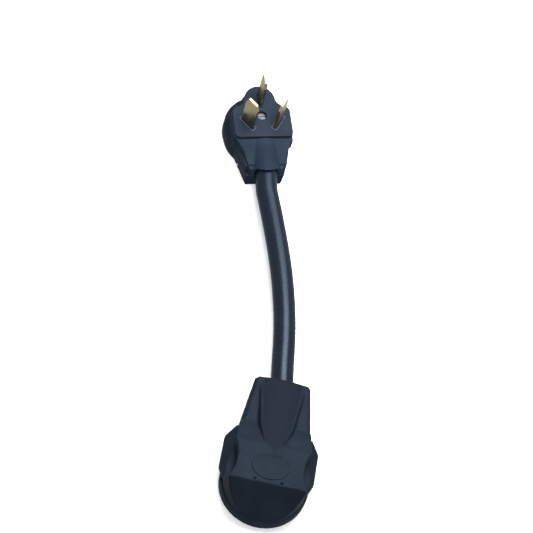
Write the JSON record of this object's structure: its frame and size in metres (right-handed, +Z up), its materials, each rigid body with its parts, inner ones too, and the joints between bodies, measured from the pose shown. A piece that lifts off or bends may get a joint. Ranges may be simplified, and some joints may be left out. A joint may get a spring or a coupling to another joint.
{
  "type": "power adapter dogbone",
  "caption": "Short heavy cord between a flat angled plug with straight brass blades and a round-headed angled socket connector with finger grips, for recreational vehicles",
  "frame": {"origin": "Centre of the slot pattern on the connector's socket face, which lies on the surface", "axes": "+Y runs from the connector along its neck to the cord and the plug, +X to the right seen from above with the connector nearest, +Z up, out of the plug's face along its blades"},
  "size_m": [0.104, 0.3254, 0.0535],
  "materials": {
    "shell": "satin",
    "face": "matte",
    "jacket": "satin",
    "brass": "brushed",
    "steel": "satin",
    "copper": "bare copper",
    "black_wire": "satin",
    "red_wire": "satin",
    "white_wire": "satin"
  },
  "bodies": {
    "root": {"connector_back_shell": "shell", "connector_front_shell": "shell", "connector_badge": "face", "socket_face_plate": "face", "contact_carrier": "face", "line_contact_left": "brass", "line_contact_right": "brass", "neutral_contact": "brass", "ground_contact": "brass", "neutral_bond_bar": "brass", "connector_wire_lugs": "steel", "connector_lug_screws": "steel", "connector_face_screw": "steel", "connector_shell_screws": "steel", "connector_strain_collar": "steel", "cord_jacket": "jacket", "black_insulation": "black_wire", "red_insulation": "red_wire", "white_insulation": "white_wire", "black_copper": "copper", "red_copper": "copper", "white_copper": "copper", "plug_face_plate": "face", "plug_body": "shell", "plug_back_cover": "shell", "line_blade_left": "brass", "line_blade_right": "brass", "neutral_blade": "brass", "plug_wire_lugs": "steel", "plug_lug_screws": "steel", "plug_center_screw": "steel", "plug_hex_nut": "brass", "plug_cover_screws": "steel", "plug_strain_collar": "steel"}
  },
  "joints": []
}
